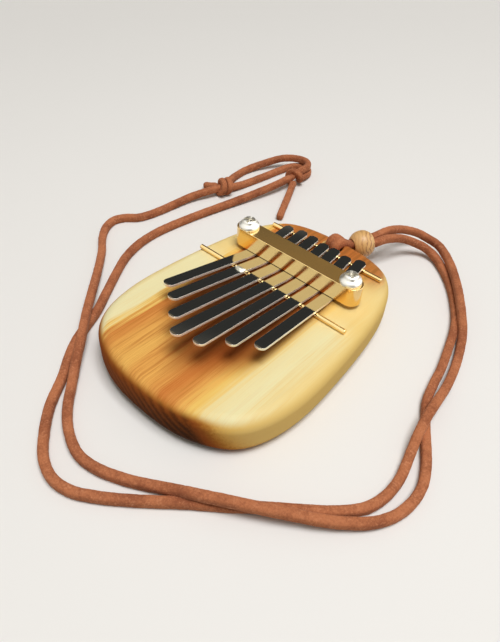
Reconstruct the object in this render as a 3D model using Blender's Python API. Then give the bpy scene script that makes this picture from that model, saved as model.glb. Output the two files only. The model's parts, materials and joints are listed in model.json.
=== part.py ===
"""Pendant kalimba: a solid wooden board with a clamp bar, two bridge rods, seven tines and a neck lace.

The board lies flat on its underside. X runs along the clamp bar, the tine tips point along -Y, and
the lace leaves through a hole at the +Y end. Sizes below are in millimetres; the model is in metres.
"""

import math

import bmesh
import bpy
import numpy as np
from mathutils import Vector

MM = 0.001
GAP = 0.3
CUT_PAST = 1.0
ROUND_SIDES = 24
HOLE_SIDES = 20
ROD_SIDES = 16

# Board
BOARD_THICKNESS = 12.7
BOARD_TOP_ROUND = 4.0
BOARD_BOTTOM_ROUND = 4.0
BOARD_HALF_OUTLINE = (
    (0, 45.7), (15.0, 44.0), (23.7, 38.3), (29.4, 25.3), (32.8, 2.0),
    (33.4, -20.7), (28.3, -36.0), (16.0, -43.7), (0, -45.7),
)
OUTLINE_STEPS = 6
ROUND_STEPS = 4
LACE_HOLE_Y = 39.8
LACE_HOLE_DIAMETER = 6.8

# Clamp bar and its two screws
BAR_Y = 19.1
BAR_SIZE = 6.35
BAR_LENGTH = 48.4
BAR_EDGE = 0.35
BAR_CLEARANCE = 1.5
SCREW_SPACING = 40.0
SCREW_SHANK_DIAMETER = 3.4
SCREW_DEPTH_IN_BOARD = 8.0
SCREW_HEAD_DIAMETER = 6.8
SCREW_HEAD_HEIGHT = 2.6
SCREW_HEAD_RIM = 0.7
SCREW_HEAD_EDGE = 0.15
SCREW_TIP_LENGTH = 2.0
SCREW_TIP_DIAMETER = 0.7
DOME_STEPS = 6
DOME_FULLNESS = 0.8
RECESS_LENGTH = 3.6
RECESS_WIDTH = 0.9
RECESS_DEPTH = 1.4
RECESS_TAPER = 0.5

# Bridge rods
ROD_DIAMETER = 1.6
ROD_CHAMFER = 0.15
ROD_SINK = 0.1
ROD_HEIGHT = BOARD_THICKNESS + ROD_DIAMETER / 2 - ROD_SINK
FRONT_ROD_Y = 7.3
FRONT_ROD_ENDS = (-30.4, 27.8)
REAR_ROD_Y = 34.4
REAR_ROD_ENDS = (-21.9, 22.6)

# Tines, left to right: where each tip ends, where each crosses the rear rod and how far back it reaches;
# then half the length that the bar presses flat, and how far it presses a tine down between the rods
TINE_WIDTH = 3.7
TINE_THICKNESS = 0.8
TINE_TIPS = (
    (-18.7, -18.7), (-13.0, -22.2), (-6.45, -27.7), (-0.5, -32.4),
    (6.1, -30.4), (11.5, -24.0), (17.35, -19.1),
)
TINE_REAR_X = (-14.8, -9.65, -5.05, -0.1, 4.2, 9.1, 13.9)
TINE_REAR_Y = (35.2, 36.2, 36.2, 35.5, 35.7, 35.0, 36.3)
TINE_FLAT = 1.5
TINE_BEND = 1.1
TINE_REAR_CHAMFER = 0.9
TIP_STEPS = 6
TIP_SWEEP = math.radians(85)
BEND_STEPS = 14

# Lace, its loop, its bead and its two sliding knots
LACE_DIAMETER = 2.6
LACE_STEP = 2.7 * LACE_DIAMETER
ROUTE_STEPS = 12
LOOP_WIDTH = 5.0
LOOP_THICKNESS = 2.2
LOOP_TURN = math.radians(-24)
LOOP_STEPS = 3
LOOP_PATH = ((0, 3.0), (0, 8.0), (0, 11.6), (0.7, 13.6), (2.1, 14.5), (3.7, 14.3), (5.0, 13.5))
BEAD_DIAMETER = 9.5
BEAD_BORE = 6.4
BEAD_STEPS = 10
BEAD_CENTRE = (4.9, 50.7, 10.3)
BEAD_AXIS = Vector((0.30, 0.94, -0.03)).normalized()
KNOT_A = (-63.5, 52.5, 3.6)
KNOT_B = (-47.8, 79.5, 4.0)
KNOT_RADIUS = 3.6
KNOT_HALF_HEIGHT = 3.3
KNOT_STEPS = 8

STRAND_A_ROUTE = (
    (5.1, 45.7, 10.5), (6.4, 50.2, 10.3), (7.8, 54.5, 10.2), (9.1, 58.5, 10.3), (10.7, 63.0, 9.5),
    (12.6, 68.0, 7.6), (15.2, 71.6, 5.5), (18.7, 74.0, 3.7), (22.9, 73.9, 2.3), (28.3, 70.4, 1.5),
    (35.1, 63.5, 1.4), (40.9, 55.4, 1.4), (44.4, 49.2, 1.4), (46.7, 43.7, 1.4), (49.7, 33.5, 1.4),
    (51.7, 25.9, 1.4), (52.9, 19.2, 1.4), (54.6, 12.2, 1.4), (57.1, 6.9, 1.4), (59.3, 2.8, 1.4),
    (62.8, -2.9, 1.4), (65.5, -7.9, 1.4), (67.3, -13.3, 1.4), (67.5, -19.1, 1.4), (66.2, -24.5, 1.5),
    (63.1, -29.9, 2.0), (58.9, -34.2, 2.6), (54.8, -37.7, 3.2), (50.6, -40.6, 3.8), (46.0, -43.7, 4.3),
    (41.3, -46.6, 4.5), (36.1, -49.7, 4.6), (30.7, -52.7, 4.3), (24.7, -55.4, 3.0), (18.7, -58.3, 1.7),
    (12.7, -61.4, 1.4), (6.0, -64.0, 1.4), (-0.8, -64.8, 1.4), (-8.2, -62.5, 1.4), (-14.6, -58.5, 1.4),
    (-21.6, -51.9, 1.9), (-26.5, -46.8, 3.2), (-31.6, -41.2, 4.3), (-37.7, -35.4, 4.4),
    (-45.6, -27.7, 3.6), (-55.5, -18.0, 2.2), (-65.2, -8.8, 1.5), (-71.6, -3.7, 1.4), (-76.1, 1.4, 1.4),
    (-77.8, 6.4, 1.4), (-76.3, 10.6, 1.4), (-72.9, 14.3, 1.4), (-71.0, 20.9, 1.4), (-70.0, 29.8, 1.6),
    (-68.6, 38.8, 2.3), (-65.0, 48.2, 3.3),
)
STRAND_B_ROUTE = (
    (2.2, 46.7, 10.5), (3.5, 51.1, 10.3), (4.9, 55.4, 10.2), (6.1, 59.6, 10.4), (7.2, 64.5, 10.3),
    (8.5, 69.5, 9.1), (10.1, 74.2, 7.3), (12.9, 77.9, 5.6), (16.7, 79.1, 4.5), (21.7, 78.2, 4.3),
    (29.3, 72.0, 4.3), (36.8, 62.9, 4.3), (43.0, 53.7, 4.3), (46.6, 47.9, 3.9), (49.2, 43.8, 2.9),
    (51.9, 37.7, 1.8), (54.4, 29.5, 1.6), (56.3, 20.2, 2.4), (57.3, 11.2, 3.8), (58.0, 4.5, 4.3),
    (59.2, -2.4, 3.5), (60.6, -8.2, 1.8), (61.9, -14.1, 1.4), (62.0, -20.9, 1.4), (60.4, -26.6, 1.4),
    (57.3, -30.9, 1.4), (53.1, -35.0, 1.4), (49.1, -38.3, 1.4), (44.5, -42.0, 1.4), (40.3, -45.5, 1.4),
    (36.4, -48.9, 1.4), (32.2, -52.2, 1.4), (28.1, -55.5, 1.4), (22.9, -60.0, 1.4), (17.7, -64.4, 1.4),
    (12.1, -68.6, 1.4), (6.5, -71.9, 1.4), (0.4, -73.1, 1.4), (-6.3, -71.3, 1.4), (-12.8, -66.8, 1.4),
    (-18.9, -61.1, 1.4), (-25.3, -52.7, 1.4), (-30.3, -47.1, 1.4), (-34.6, -41.3, 1.4),
    (-37.7, -35.2, 1.4), (-40.7, -29.3, 1.4), (-45.3, -22.4, 1.4), (-51.1, -13.8, 1.4),
    (-56.3, -5.2, 1.4), (-59.2, 3.0, 1.4), (-60.2, 12.9, 1.4), (-58.8, 26.3, 1.5), (-56.0, 41.0, 1.7),
    (-52.6, 55.0, 2.4), (-49.2, 69.0, 3.6), (-48.4, 75.2, 4.0),
)
LINK_A_ROUTE = (
    (-62.3, 56.8, 2.2), (-61.2, 64.0, 1.4), (-59.8, 73.0, 1.4), (-58.6, 82.0, 1.4), (-56.8, 89.5, 1.4),
    (-52.6, 93.2, 1.4), (-48.4, 90.6, 1.4), (-47.0, 84.2, 2.2),
)
LINK_B_ROUTE = (
    (-65.6, 56.6, 2.9), (-68.4, 64.0, 1.5), (-68.9, 72.0, 1.5), (-66.2, 80.5, 2.6), (-61.2, 87.8, 4.4),
    (-56.6, 92.0, 4.5), (-52.0, 92.9, 4.5), (-48.6, 90.0, 4.6), (-47.6, 84.0, 5.2),
)
TAIL_A_ROUTE = ((-67.4, 51.6, 2.8), (-70.0, 50.8, 1.9), (-72.9, 49.8, 1.5))
TAIL_B_ROUTE = ((-45.2, 75.4, 2.9), (-42.4, 69.6, 1.7), (-38.6, 62.0, 1.4), (-34.2, 53.6, 1.4))


def clear_scene():
    """Start from an empty scene."""
    for thing in list(bpy.data.objects):
        bpy.data.objects.remove(thing, do_unlink=True)


def make_material(name, colour, roughness, metallic=0.0):
    """Return a plain Principled material."""
    material = bpy.data.materials.new(name)
    material.use_nodes = True
    shader = material.node_tree.nodes["Principled BSDF"]
    shader.inputs["Base Color"].default_value = (*colour, 1.0)
    shader.inputs["Roughness"].default_value = roughness
    shader.inputs["Metallic"].default_value = metallic
    return material


def add_object(name, data, material, location=(0, 0, 0), turn=0.0):
    """Put a mesh or a curve into the scene, placed in millimetres and turned about Z."""
    thing = bpy.data.objects.new(name, data)
    thing.location = Vector(location) * MM
    thing.rotation_euler.z = turn
    if material is not None:
        data.materials.append(material)
    bpy.context.scene.collection.objects.link(thing)
    return thing


def mesh_from_bmesh(name, shape, smooth_angle=None):
    """Turn a bmesh drawn in millimetres into a closed mesh in metres."""
    bmesh.ops.scale(shape, vec=(MM, MM, MM), verts=shape.verts)
    bmesh.ops.recalc_face_normals(shape, faces=shape.faces)
    mesh = bpy.data.meshes.new(name)
    shape.to_mesh(mesh)
    shape.free()
    if smooth_angle is not None:
        mesh.shade_smooth()
        mesh.set_sharp_from_angle(angle=math.radians(smooth_angle))
    return mesh


def loft(name, rings, smooth_angle=None, closed=False):
    """Skin rings of equally many points, closing the ends, or joining the last ring to the first."""
    shape = bmesh.new()
    drawn = [[shape.verts.new(point) for point in ring] for ring in rings]
    pairs = list(zip(drawn, drawn[1:]))
    if closed:
        pairs.append((drawn[-1], drawn[0]))
    for lower, upper in pairs:
        for index in range(len(lower)):
            after = (index + 1) % len(lower)
            shape.faces.new((lower[index], lower[after], upper[after], upper[index]))
    if not closed:
        shape.faces.new(list(reversed(drawn[0])))
        shape.faces.new(drawn[-1])
    return mesh_from_bmesh(name, shape, smooth_angle)


def full_turn(sides):
    """Angles evenly spread round a circle."""
    return [2 * math.pi * side / sides for side in range(sides)]


def lathe(name, profile, sides, closed=False, smooth_angle=35):
    """Turn a (radius, height) profile round Z."""
    rings = []
    for radius, height in profile:
        rings.append([(radius * math.cos(a), radius * math.sin(a), height) for a in full_turn(sides)])
    return loft(name, rings, smooth_angle, closed)


def spline(points, steps, closed=False):
    """Read a smooth curve through the points, a few steps between each two."""
    points = np.array(points, dtype=float)
    if closed:
        padded = np.vstack((points[-1], points, points[:2]))
    else:
        padded = np.vstack((2 * points[0] - points[1], points, 2 * points[-1] - points[-2]))
    curve = []
    for p0, p1, p2, p3 in zip(padded, padded[1:], padded[2:], padded[3:]):
        for step in range(steps):
            t = step / steps
            bend = (2 * p0 - 5 * p1 + 4 * p2 - p3) * t ** 2 + (3 * p1 - p0 - 3 * p2 + p3) * t ** 3
            curve.append(p1 + 0.5 * ((p2 - p0) * t + bend))
    if not closed:
        curve.append(points[-1])
    return np.array(curve)


def evenly(curve, spacing):
    """Pick points at an even spacing along a finely drawn curve."""
    lengths = np.concatenate(([0], np.cumsum(np.linalg.norm(np.diff(curve, axis=0), axis=1))))
    count = max(2, round(lengths[-1] / spacing) + 1)
    wanted = np.linspace(0, lengths[-1], count)
    return np.column_stack([np.interp(wanted, lengths, curve[:, axis]) for axis in range(3)])


def add_cutter(name, mesh, target, location=(0, 0, 0)):
    """Cut a hidden shape out of a piece."""
    cutter = add_object(name, mesh, None, location)
    cutter.hide_render = True
    cutter.display_type = "WIRE"
    cut = target.modifiers.new(name, "BOOLEAN")
    cut.operation = "DIFFERENCE"
    cut.solver = "EXACT"
    cut.object = cutter


def cylinder_mesh(name, diameter, low, high, sides=HOLE_SIDES):
    """A plain upright cylinder between two heights."""
    return lathe(name, ((diameter / 2, low), (diameter / 2, high)), sides)


def rod_mesh(name, diameter, start, end, chamfer=0.0):
    """A round rod along X, with chamfered ends if asked for."""
    radius = diameter / 2
    stations = [(start + chamfer, radius), (end - chamfer, radius)]
    if chamfer:
        stations = [(start, radius - chamfer), *stations, (end, radius - chamfer)]
    rings = [[(x, r * math.cos(a), r * math.sin(a)) for a in full_turn(ROD_SIDES)] for x, r in stations]
    return loft(name, rings, smooth_angle=40)


def board_outline():
    """The board's outline as points and outward normals."""
    right = list(BOARD_HALF_OUTLINE)
    left = [(-x, y) for x, y in reversed(right[1:-1])]
    points = spline(right + left, OUTLINE_STEPS, closed=True)
    along = np.roll(points, -1, axis=0) - np.roll(points, 1, axis=0)
    normals = np.column_stack((-along[:, 1], along[:, 0]))
    return points, normals / np.linalg.norm(normals, axis=1)[:, None]


def board_rings():
    """Rings up the board's rounded wall: each is how far it is set in, and its height."""
    quarter = [0.5 * math.pi * step / ROUND_STEPS for step in range(ROUND_STEPS + 1)]
    low = BOARD_BOTTOM_ROUND
    high = BOARD_TOP_ROUND
    lower = [(low * (1 - math.sin(a)), low * (1 - math.cos(a))) for a in quarter]
    upper = [(high * (1 - math.cos(a)), BOARD_THICKNESS - high * (1 - math.sin(a))) for a in quarter]
    return lower + upper


def build_board():
    """The wooden board, with its lace hole, its screw holes and the shallow beds of the two rods."""
    points, normals = board_outline()
    rings = []
    for inset, height in board_rings():
        rings.append([(*(point - normal * inset), height) for point, normal in zip(points, normals)])
    material = make_material("board_wood", (0.62, 0.36, 0.14), 0.4)
    board = add_object("board", loft("board", rings, smooth_angle=40), material)
    above = BOARD_THICKNESS + CUT_PAST
    hole = cylinder_mesh("lace_hole", LACE_HOLE_DIAMETER, -CUT_PAST, above, ROUND_SIDES)
    add_cutter("lace_hole", hole, board, (0, LACE_HOLE_Y, 0))
    bottom = BOARD_THICKNESS - SCREW_DEPTH_IN_BOARD - GAP
    for side, x in (("left", -SCREW_SPACING / 2), ("right", SCREW_SPACING / 2)):
        pilot = cylinder_mesh("pilot_" + side, SCREW_SHANK_DIAMETER + 2 * GAP, bottom, above)
        add_cutter("pilot_" + side, pilot, board, (x, BAR_Y, 0))
    for name, y, ends in (("front", FRONT_ROD_Y, FRONT_ROD_ENDS), ("rear", REAR_ROD_Y, REAR_ROD_ENDS)):
        bed = rod_mesh("bed_" + name, ROD_DIAMETER + 2 * GAP, ends[0] - GAP, ends[1] + GAP)
        add_cutter("bed_" + name, bed, board, (0, y, ROD_HEIGHT))


def build_rods():
    """The two round bridge rods that lie in shallow beds across the board."""
    brass = make_material("rod_brass", (0.80, 0.58, 0.25), 0.2, 1.0)
    for name, y, ends in (("front", FRONT_ROD_Y, FRONT_ROD_ENDS), ("rear", REAR_ROD_Y, REAR_ROD_ENDS)):
        mesh = rod_mesh(name + "_bridge_rod", ROD_DIAMETER, ends[0], ends[1], ROD_CHAMFER)
        add_object(name + "_bridge_rod", mesh, brass, (0, y, ROD_HEIGHT))


def bar_outline(inset, steps=8):
    """The clamp bar's outline, square in section with half-round ends, drawn a little inside itself."""
    radius = BAR_SIZE / 2 - inset
    centre = BAR_LENGTH / 2 - BAR_SIZE / 2
    right = [-0.5 * math.pi + math.pi * step / steps for step in range(steps + 1)]
    points = [(centre + radius * math.cos(a), radius * math.sin(a)) for a in right]
    return points + [(-x, -y) for x, y in points]


def build_bar():
    """The brass clamp bar, which the two screws pull down onto the tines."""
    rings = []
    for inset, height in ((BAR_EDGE, 0), (0, BAR_EDGE), (0, BAR_SIZE - BAR_EDGE), (BAR_EDGE, BAR_SIZE)):
        rings.append([(x, y, height) for x, y in bar_outline(inset)])
    brass = make_material("bar_brass", (0.82, 0.58, 0.24), 0.15, 1.0)
    under_bar = BOARD_THICKNESS + BAR_CLEARANCE
    bar = add_object("clamp_bar", loft("clamp_bar", rings, 35), brass, (0, BAR_Y, under_bar))
    bore_diameter = SCREW_SHANK_DIAMETER + 2 * GAP
    for side, x in (("left", -SCREW_SPACING / 2), ("right", SCREW_SPACING / 2)):
        bore = cylinder_mesh("bore_" + side, bore_diameter, -CUT_PAST, BAR_SIZE + CUT_PAST)
        add_cutter("bore_" + side, bore, bar, (x, BAR_Y, under_bar))


def cross_mesh(name, turned):
    """One arm of the cross recess, narrowing as it goes down."""
    half_length = RECESS_LENGTH / 2
    half_width = RECESS_WIDTH / 2
    if turned:
        half_length, half_width = half_width, half_length
    corners = ((-1, -1), (1, -1), (1, 1), (-1, 1))
    rings = []
    floor = SCREW_HEAD_HEIGHT - RECESS_DEPTH
    for taper, height in ((RECESS_TAPER, floor), (1.0, SCREW_HEAD_HEIGHT + CUT_PAST)):
        rings.append([(x * half_length * taper, y * half_width * taper, height) for x, y in corners])
    return loft(name, rings)


def build_screws():
    """Two pan-head screws with a cross recess, through the bar and into the board."""
    radius = SCREW_HEAD_DIAMETER / 2
    shank = SCREW_SHANK_DIAMETER / 2
    head_base = BOARD_THICKNESS + BAR_CLEARANCE + BAR_SIZE + GAP
    length = head_base - BOARD_THICKNESS + SCREW_DEPTH_IN_BOARD
    edge = SCREW_HEAD_EDGE
    crown = SCREW_HEAD_HEIGHT - SCREW_HEAD_RIM
    profile = [(SCREW_TIP_DIAMETER / 2, -length), (shank, SCREW_TIP_LENGTH - length), (shank, 0)]
    profile += [(radius - edge, 0), (radius, edge)]
    for step in range(DOME_STEPS):
        angle = 0.5 * math.pi * step / DOME_STEPS
        width = radius * math.cos(angle) ** DOME_FULLNESS
        profile.append((width, SCREW_HEAD_RIM + crown * math.sin(angle)))
    steel = make_material("screw_steel", (0.75, 0.75, 0.74), 0.2, 1.0)
    for side, x in (("left", -SCREW_SPACING / 2), ("right", SCREW_SPACING / 2)):
        name = "clamp_screw_" + side
        screw = add_object(name, lathe(name, profile, ROUND_SIDES), steel, (x, BAR_Y, head_base))
        for arm in ("long", "cross"):
            slot = cross_mesh("recess_" + arm + "_" + side, arm == "cross")
            add_cutter("recess_" + arm + "_" + side, slot, screw, (x, BAR_Y, head_base))


def tine_height(y):
    """Height of a tine's underside: pressed flat under the bar, straight and rising past each rod."""
    under_bar = BOARD_THICKNESS + BAR_CLEARANCE - GAP - TINE_THICKNESS
    on_rod = ROD_HEIGHT + ROD_DIAMETER / 2 + GAP
    rise = on_rod - under_bar
    lift = 1.5 * TINE_BEND
    reach = (BAR_Y - FRONT_ROD_Y if y < BAR_Y else REAR_ROD_Y - BAR_Y) - TINE_FLAT
    part = max(0, abs(y - BAR_Y) - TINE_FLAT) / reach
    if part > 1:
        return on_rod + lift * (part - 1)
    return under_bar + part ** 2 * (3 * rise - lift + (lift - 2 * rise) * part)


def tine_stations(start, end, front):
    """How far along the tine each cross-section stands, and its half width there."""
    half = TINE_WIDTH / 2
    if front:
        sweep = [TIP_SWEEP * step / TIP_STEPS for step in range(TIP_STEPS + 1)]
        return [(start, half)] + [(end + half * (1 - math.sin(a)), half * math.cos(a)) for a in sweep]
    bend = [(y, half) for y in np.linspace(start, end - TINE_REAR_CHAMFER, BEND_STEPS + 1)]
    return bend + [(end, half - TINE_REAR_CHAMFER)]


def tine_mesh(name, turn, origin, start, end, front):
    """A flat strip along the tine's own Y axis, bent to the height of the bar and rods."""
    rings = []
    for along, half in tine_stations(start, end, front):
        low = tine_height(along) - origin[2]
        high = low + TINE_THICKNESS
        y = (along - origin[1]) / math.cos(turn)
        rings.append([(-half, y, low), (half, y, low), (half, y, high), (-half, y, high)])
    return loft(name, rings, smooth_angle=20)


def build_tines():
    """Seven straight spring-steel strips, each as its clamped end and the free end that is plucked."""
    steel = make_material("tine_steel", (0.42, 0.42, 0.40), 0.15, 1.0)
    for index, (tip_x, tip_y) in enumerate(TINE_TIPS):
        lean = (TINE_REAR_X[index] - tip_x) / (REAR_ROD_Y - tip_y)
        turn = -math.atan(lean)
        name = "tine_%d" % (index + 1)
        clamp = (tip_x + lean * (BAR_Y - tip_y), BAR_Y, tine_height(BAR_Y))
        bridge = (tip_x + lean * (FRONT_ROD_Y - tip_y), FRONT_ROD_Y, tine_height(FRONT_ROD_Y))
        ends = (
            ("_clamped", clamp, FRONT_ROD_Y + GAP / 2, TINE_REAR_Y[index], False),
            ("_free", bridge, FRONT_ROD_Y - GAP / 2, tip_y, True),
        )
        for part, origin, start, end, front in ends:
            mesh = tine_mesh(name + part, turn, origin, start, end, front)
            add_object(name + part, mesh, steel, origin, turn)


def build_bead():
    """The wooden bead that both strands of the lace run through."""
    radius = BEAD_DIAMETER / 2
    bore = BEAD_BORE / 2
    opening = math.asin(bore / radius)
    arc = np.linspace(opening, math.pi - opening, BEAD_STEPS + 1)
    profile = [(radius * math.sin(a), -radius * math.cos(a)) for a in arc]
    mesh = lathe("lace_bead", profile, ROUND_SIDES, closed=True, smooth_angle=50)
    wood = make_material("bead_wood", (0.68, 0.45, 0.22), 0.45)
    bead = add_object("lace_bead", mesh, wood, BEAD_CENTRE)
    bead.rotation_mode = "QUATERNION"
    bead.rotation_quaternion = BEAD_AXIS.to_track_quat("Z", "Y")


def build_loop(suede):
    """The doubled lace where it comes up through the hole and folds over the board's rear rim."""
    path = spline(LOOP_PATH, LOOP_STEPS)
    along = np.gradient(path, axis=0)
    normals = np.column_stack((-along[:, 1], along[:, 0])) / np.linalg.norm(along, axis=1)[:, None]
    wide = LOOP_WIDTH / 2
    thick = LOOP_THICKNESS / 2
    corners = ((-wide, -thick), (wide, -thick), (wide, thick), (-wide, thick))
    rings = []
    for point, normal in zip(path, normals):
        rings.append([(x, *(point + normal * offset)) for x, offset in corners])
    add_object("lace_loop", loft("lace_loop", rings, 30), suede, (0, LACE_HOLE_Y, 0), LOOP_TURN)


def build_lace(suede):
    """The lace's free stretches, each a round tube along its own route."""
    routes = {
        "lace_strand_a": STRAND_A_ROUTE, "lace_strand_b": STRAND_B_ROUTE,
        "lace_link_a": LINK_A_ROUTE, "lace_link_b": LINK_B_ROUTE,
        "lace_tail_a": TAIL_A_ROUTE, "lace_tail_b": TAIL_B_ROUTE,
    }
    for name, route in routes.items():
        points = evenly(spline(route, ROUTE_STEPS), LACE_STEP) * MM
        curve = bpy.data.curves.new(name, "CURVE")
        curve.dimensions = "3D"
        curve.bevel_depth = LACE_DIAMETER / 2 * MM
        curve.bevel_resolution = 2
        curve.use_fill_caps = True
        line = curve.splines.new("POLY")
        line.points.add(len(points) - 1)
        for target, point in zip(line.points, points):
            target.co = (*point, 1.0)
        add_object(name, curve, suede)


def build_knots(suede):
    """The two sliding knots, as rounded lumps."""
    arc = [math.pi * (step + 0.5) / KNOT_STEPS for step in range(KNOT_STEPS)]
    profile = [(KNOT_RADIUS * math.sin(a), -KNOT_HALF_HEIGHT * math.cos(a)) for a in arc]
    for name, place in (("lace_knot_a", KNOT_A), ("lace_knot_b", KNOT_B)):
        add_object(name, lathe(name, profile, ROD_SIDES, smooth_angle=60), suede, place)


def main():
    """Build the whole instrument."""
    clear_scene()
    build_board()
    build_rods()
    build_bar()
    build_screws()
    build_tines()
    build_bead()
    suede = make_material("lace_suede", (0.38, 0.14, 0.07), 0.9)
    build_loop(suede)
    build_lace(suede)
    build_knots(suede)


main()
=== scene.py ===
"""Looks of a pendant thumb piano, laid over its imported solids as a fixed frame."""
import json
import math

import bmesh
import bpy
from bpy.props import FloatProperty, FloatVectorProperty, PointerProperty
from mathutils import Matrix, Vector, noise


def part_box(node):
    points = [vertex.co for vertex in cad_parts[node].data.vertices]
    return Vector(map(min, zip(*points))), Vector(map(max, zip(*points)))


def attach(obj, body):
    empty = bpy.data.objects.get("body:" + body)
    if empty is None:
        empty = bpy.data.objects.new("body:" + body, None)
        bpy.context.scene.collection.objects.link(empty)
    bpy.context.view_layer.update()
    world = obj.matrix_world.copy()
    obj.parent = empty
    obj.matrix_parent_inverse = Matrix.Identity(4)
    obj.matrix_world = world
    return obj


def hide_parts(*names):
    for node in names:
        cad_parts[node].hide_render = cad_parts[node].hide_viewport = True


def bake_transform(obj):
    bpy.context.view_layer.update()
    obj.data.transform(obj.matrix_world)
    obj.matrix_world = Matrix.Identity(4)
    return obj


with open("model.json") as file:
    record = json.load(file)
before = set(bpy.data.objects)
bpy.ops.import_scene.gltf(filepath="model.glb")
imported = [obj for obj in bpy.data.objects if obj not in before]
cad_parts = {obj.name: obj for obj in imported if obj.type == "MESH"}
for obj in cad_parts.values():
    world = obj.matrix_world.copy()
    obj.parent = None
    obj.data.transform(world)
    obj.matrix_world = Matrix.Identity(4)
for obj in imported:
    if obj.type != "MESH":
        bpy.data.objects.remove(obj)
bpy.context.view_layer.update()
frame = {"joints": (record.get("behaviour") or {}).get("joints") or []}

bl_info = {
    "name": "Pendant Thumb Piano",
    "version": (1, 0, 0),
    "blender": (4, 5, 0),
    "location": "3D View > Sidebar > Thumb Piano",
    "description": "Models and finishes the pieces of a pendant thumb piano over its packed solids",
    "category": "Object",
}

MM = 0.001
TO_MM = (1000, 1000, 1000)
UP = Vector((0, 0, 1))

# Where the lamp and the camera stand; its turns in degrees, its sensor and lens in millimetres
LAMP_PLACE = (0.22, -0.03, 0.88)
CAMERA_PLACE = (0.08054, -0.09812, 0.12456)
CAMERA_TURN = (46.4793, -2.3035, 42.0897)
CAMERA_SENSOR = 36
CAMERA_LENS = 31.573
CAMERA_NEAR = 0.005
# The backdrop as it is seen, the dark room and the warm strip that metal mirrors, and the light from above
BACKDROP = 0.92
DARK_ROOM = 0.045
WARM_STRIP = 0.26
DOME_LOW = 0.15
DOME_RISE = 0.21
# Bright panels that polished metal mirrors overhead, in front and at the right: strength, direction, soft rim
PANELS = (
    (1.3, (-0.20, -0.30, 0.93), (0.71, 0.82)),
    (1.12, (-0.35, -0.70, 0.62), (0.30, 0.85)),
    (2.2, (0.74, 0.58, 0.35), (0.50, 0.85)),
)

TINE_COUNT = 7
# Underside of a tine: half its flat stretch at the bar, its depth below the bar's solid, its rise past a rod
# and its play above the rods
TINE_FLAT = 0.0015
TINE_UNDER_BAR = 0.0011
TINE_RISE = 0.00165
ROD_PLAY = 0.00027
# Steps of a tine's length and of its round tip, and how far past the front rod the even steps end
TINE_STEPS = 48
TIP_STEPS = 12
TIP_START = 0.0013

# How far the bar comes down towards the tines, the flat left at its round ends, and its bores for the screws
BAR_DROP = 0.00012
BAR_END_FLAT = 0.00002
BAR_BORE_RADIUS = 0.00195
BAR_BORE_DEPTH = 0.02

# Outline of a screw head: shares of its radius and of its height
SCREW_PROFILE = (
    (1.0, 0.20), (0.99, 0.29), (0.94, 0.40), (0.85, 0.51), (0.74, 0.60), (0.67, 0.70), (0.645, 0.82),
    (0.58, 0.93), (0.42, 1.0),
)
# Shank and point of the screws, the rounding of the head's lower edge and of all edges, the turn of each in
# degrees, and the cross recess
SCREW_SHANK_RADIUS = 0.0017
SCREW_POINT = 0.002
SCREW_POINT_WIDTH = 0.2
SCREW_BRIM_EASE = 0.00018
SCREW_EDGE = 0.00008
SCREW_TURNS = (("left", 20), ("right", 38))
RECESS_HEIGHT = 0.0029
RECESS_SIZE = (0.0050, 0.0010, 0.0022)
RECESS_TAPER = 0.6

# The bead: its size, the way its bore runs, its rims, and how uneven and how oval it is
BEAD_RADIUS = 0.00475
BEAD_WAY = Vector((0.45, 0.89, 0.02))
BEAD_RIM = 0.93
BEAD_RIM_EASE = 0.00035
BEAD_UNEVEN = 0.00006
BEAD_WIDER = 1.02

BRASS_GLINT = Vector((0.92, 0.70, 0.36))

# Height of the board's top, and the right half of its outline from the rear middle to the front middle, in
# millimetres
BOARD_TOP = 12.7
BOARD_HALF_OUTLINE = (
    (0, 45.7), (15, 44), (23.7, 38.3), (29.4, 25.3), (32.8, 2), (33.4, -20.7), (28.3, -36),
    (16, -43.7), (0, -45.7),
)
OUTLINE_STEPS = 12
HOLE_RIM_STEPS = 4
HOLE_MOUTH = Vector((0, 0.0398, 0.0127))

# The lace where it comes up through the hole and folds over the rear rim: along the fold, height, half the
# distance between its two strands, all in metres, and how full it is
FOLD_PATH = (
    (0, 0.003, 0.0008, 1.0), (0, 0.008, 0.0012, 1.0), (0, 0.0116, 0.0013, 1.1), (0.0003, 0.0134, 0.0014, 1.2),
    (0.0016, 0.0142, 0.0013, 1.2), (0.0031, 0.0136, 0.0009, 1.0), (0.0045, 0.0127, 0.0006, 0.8),
)
FOLD_ALONG = Vector((0.4067, 0.9135, 0))
FOLD_ACROSS = Vector((0.9135, -0.4067, 0))
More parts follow.
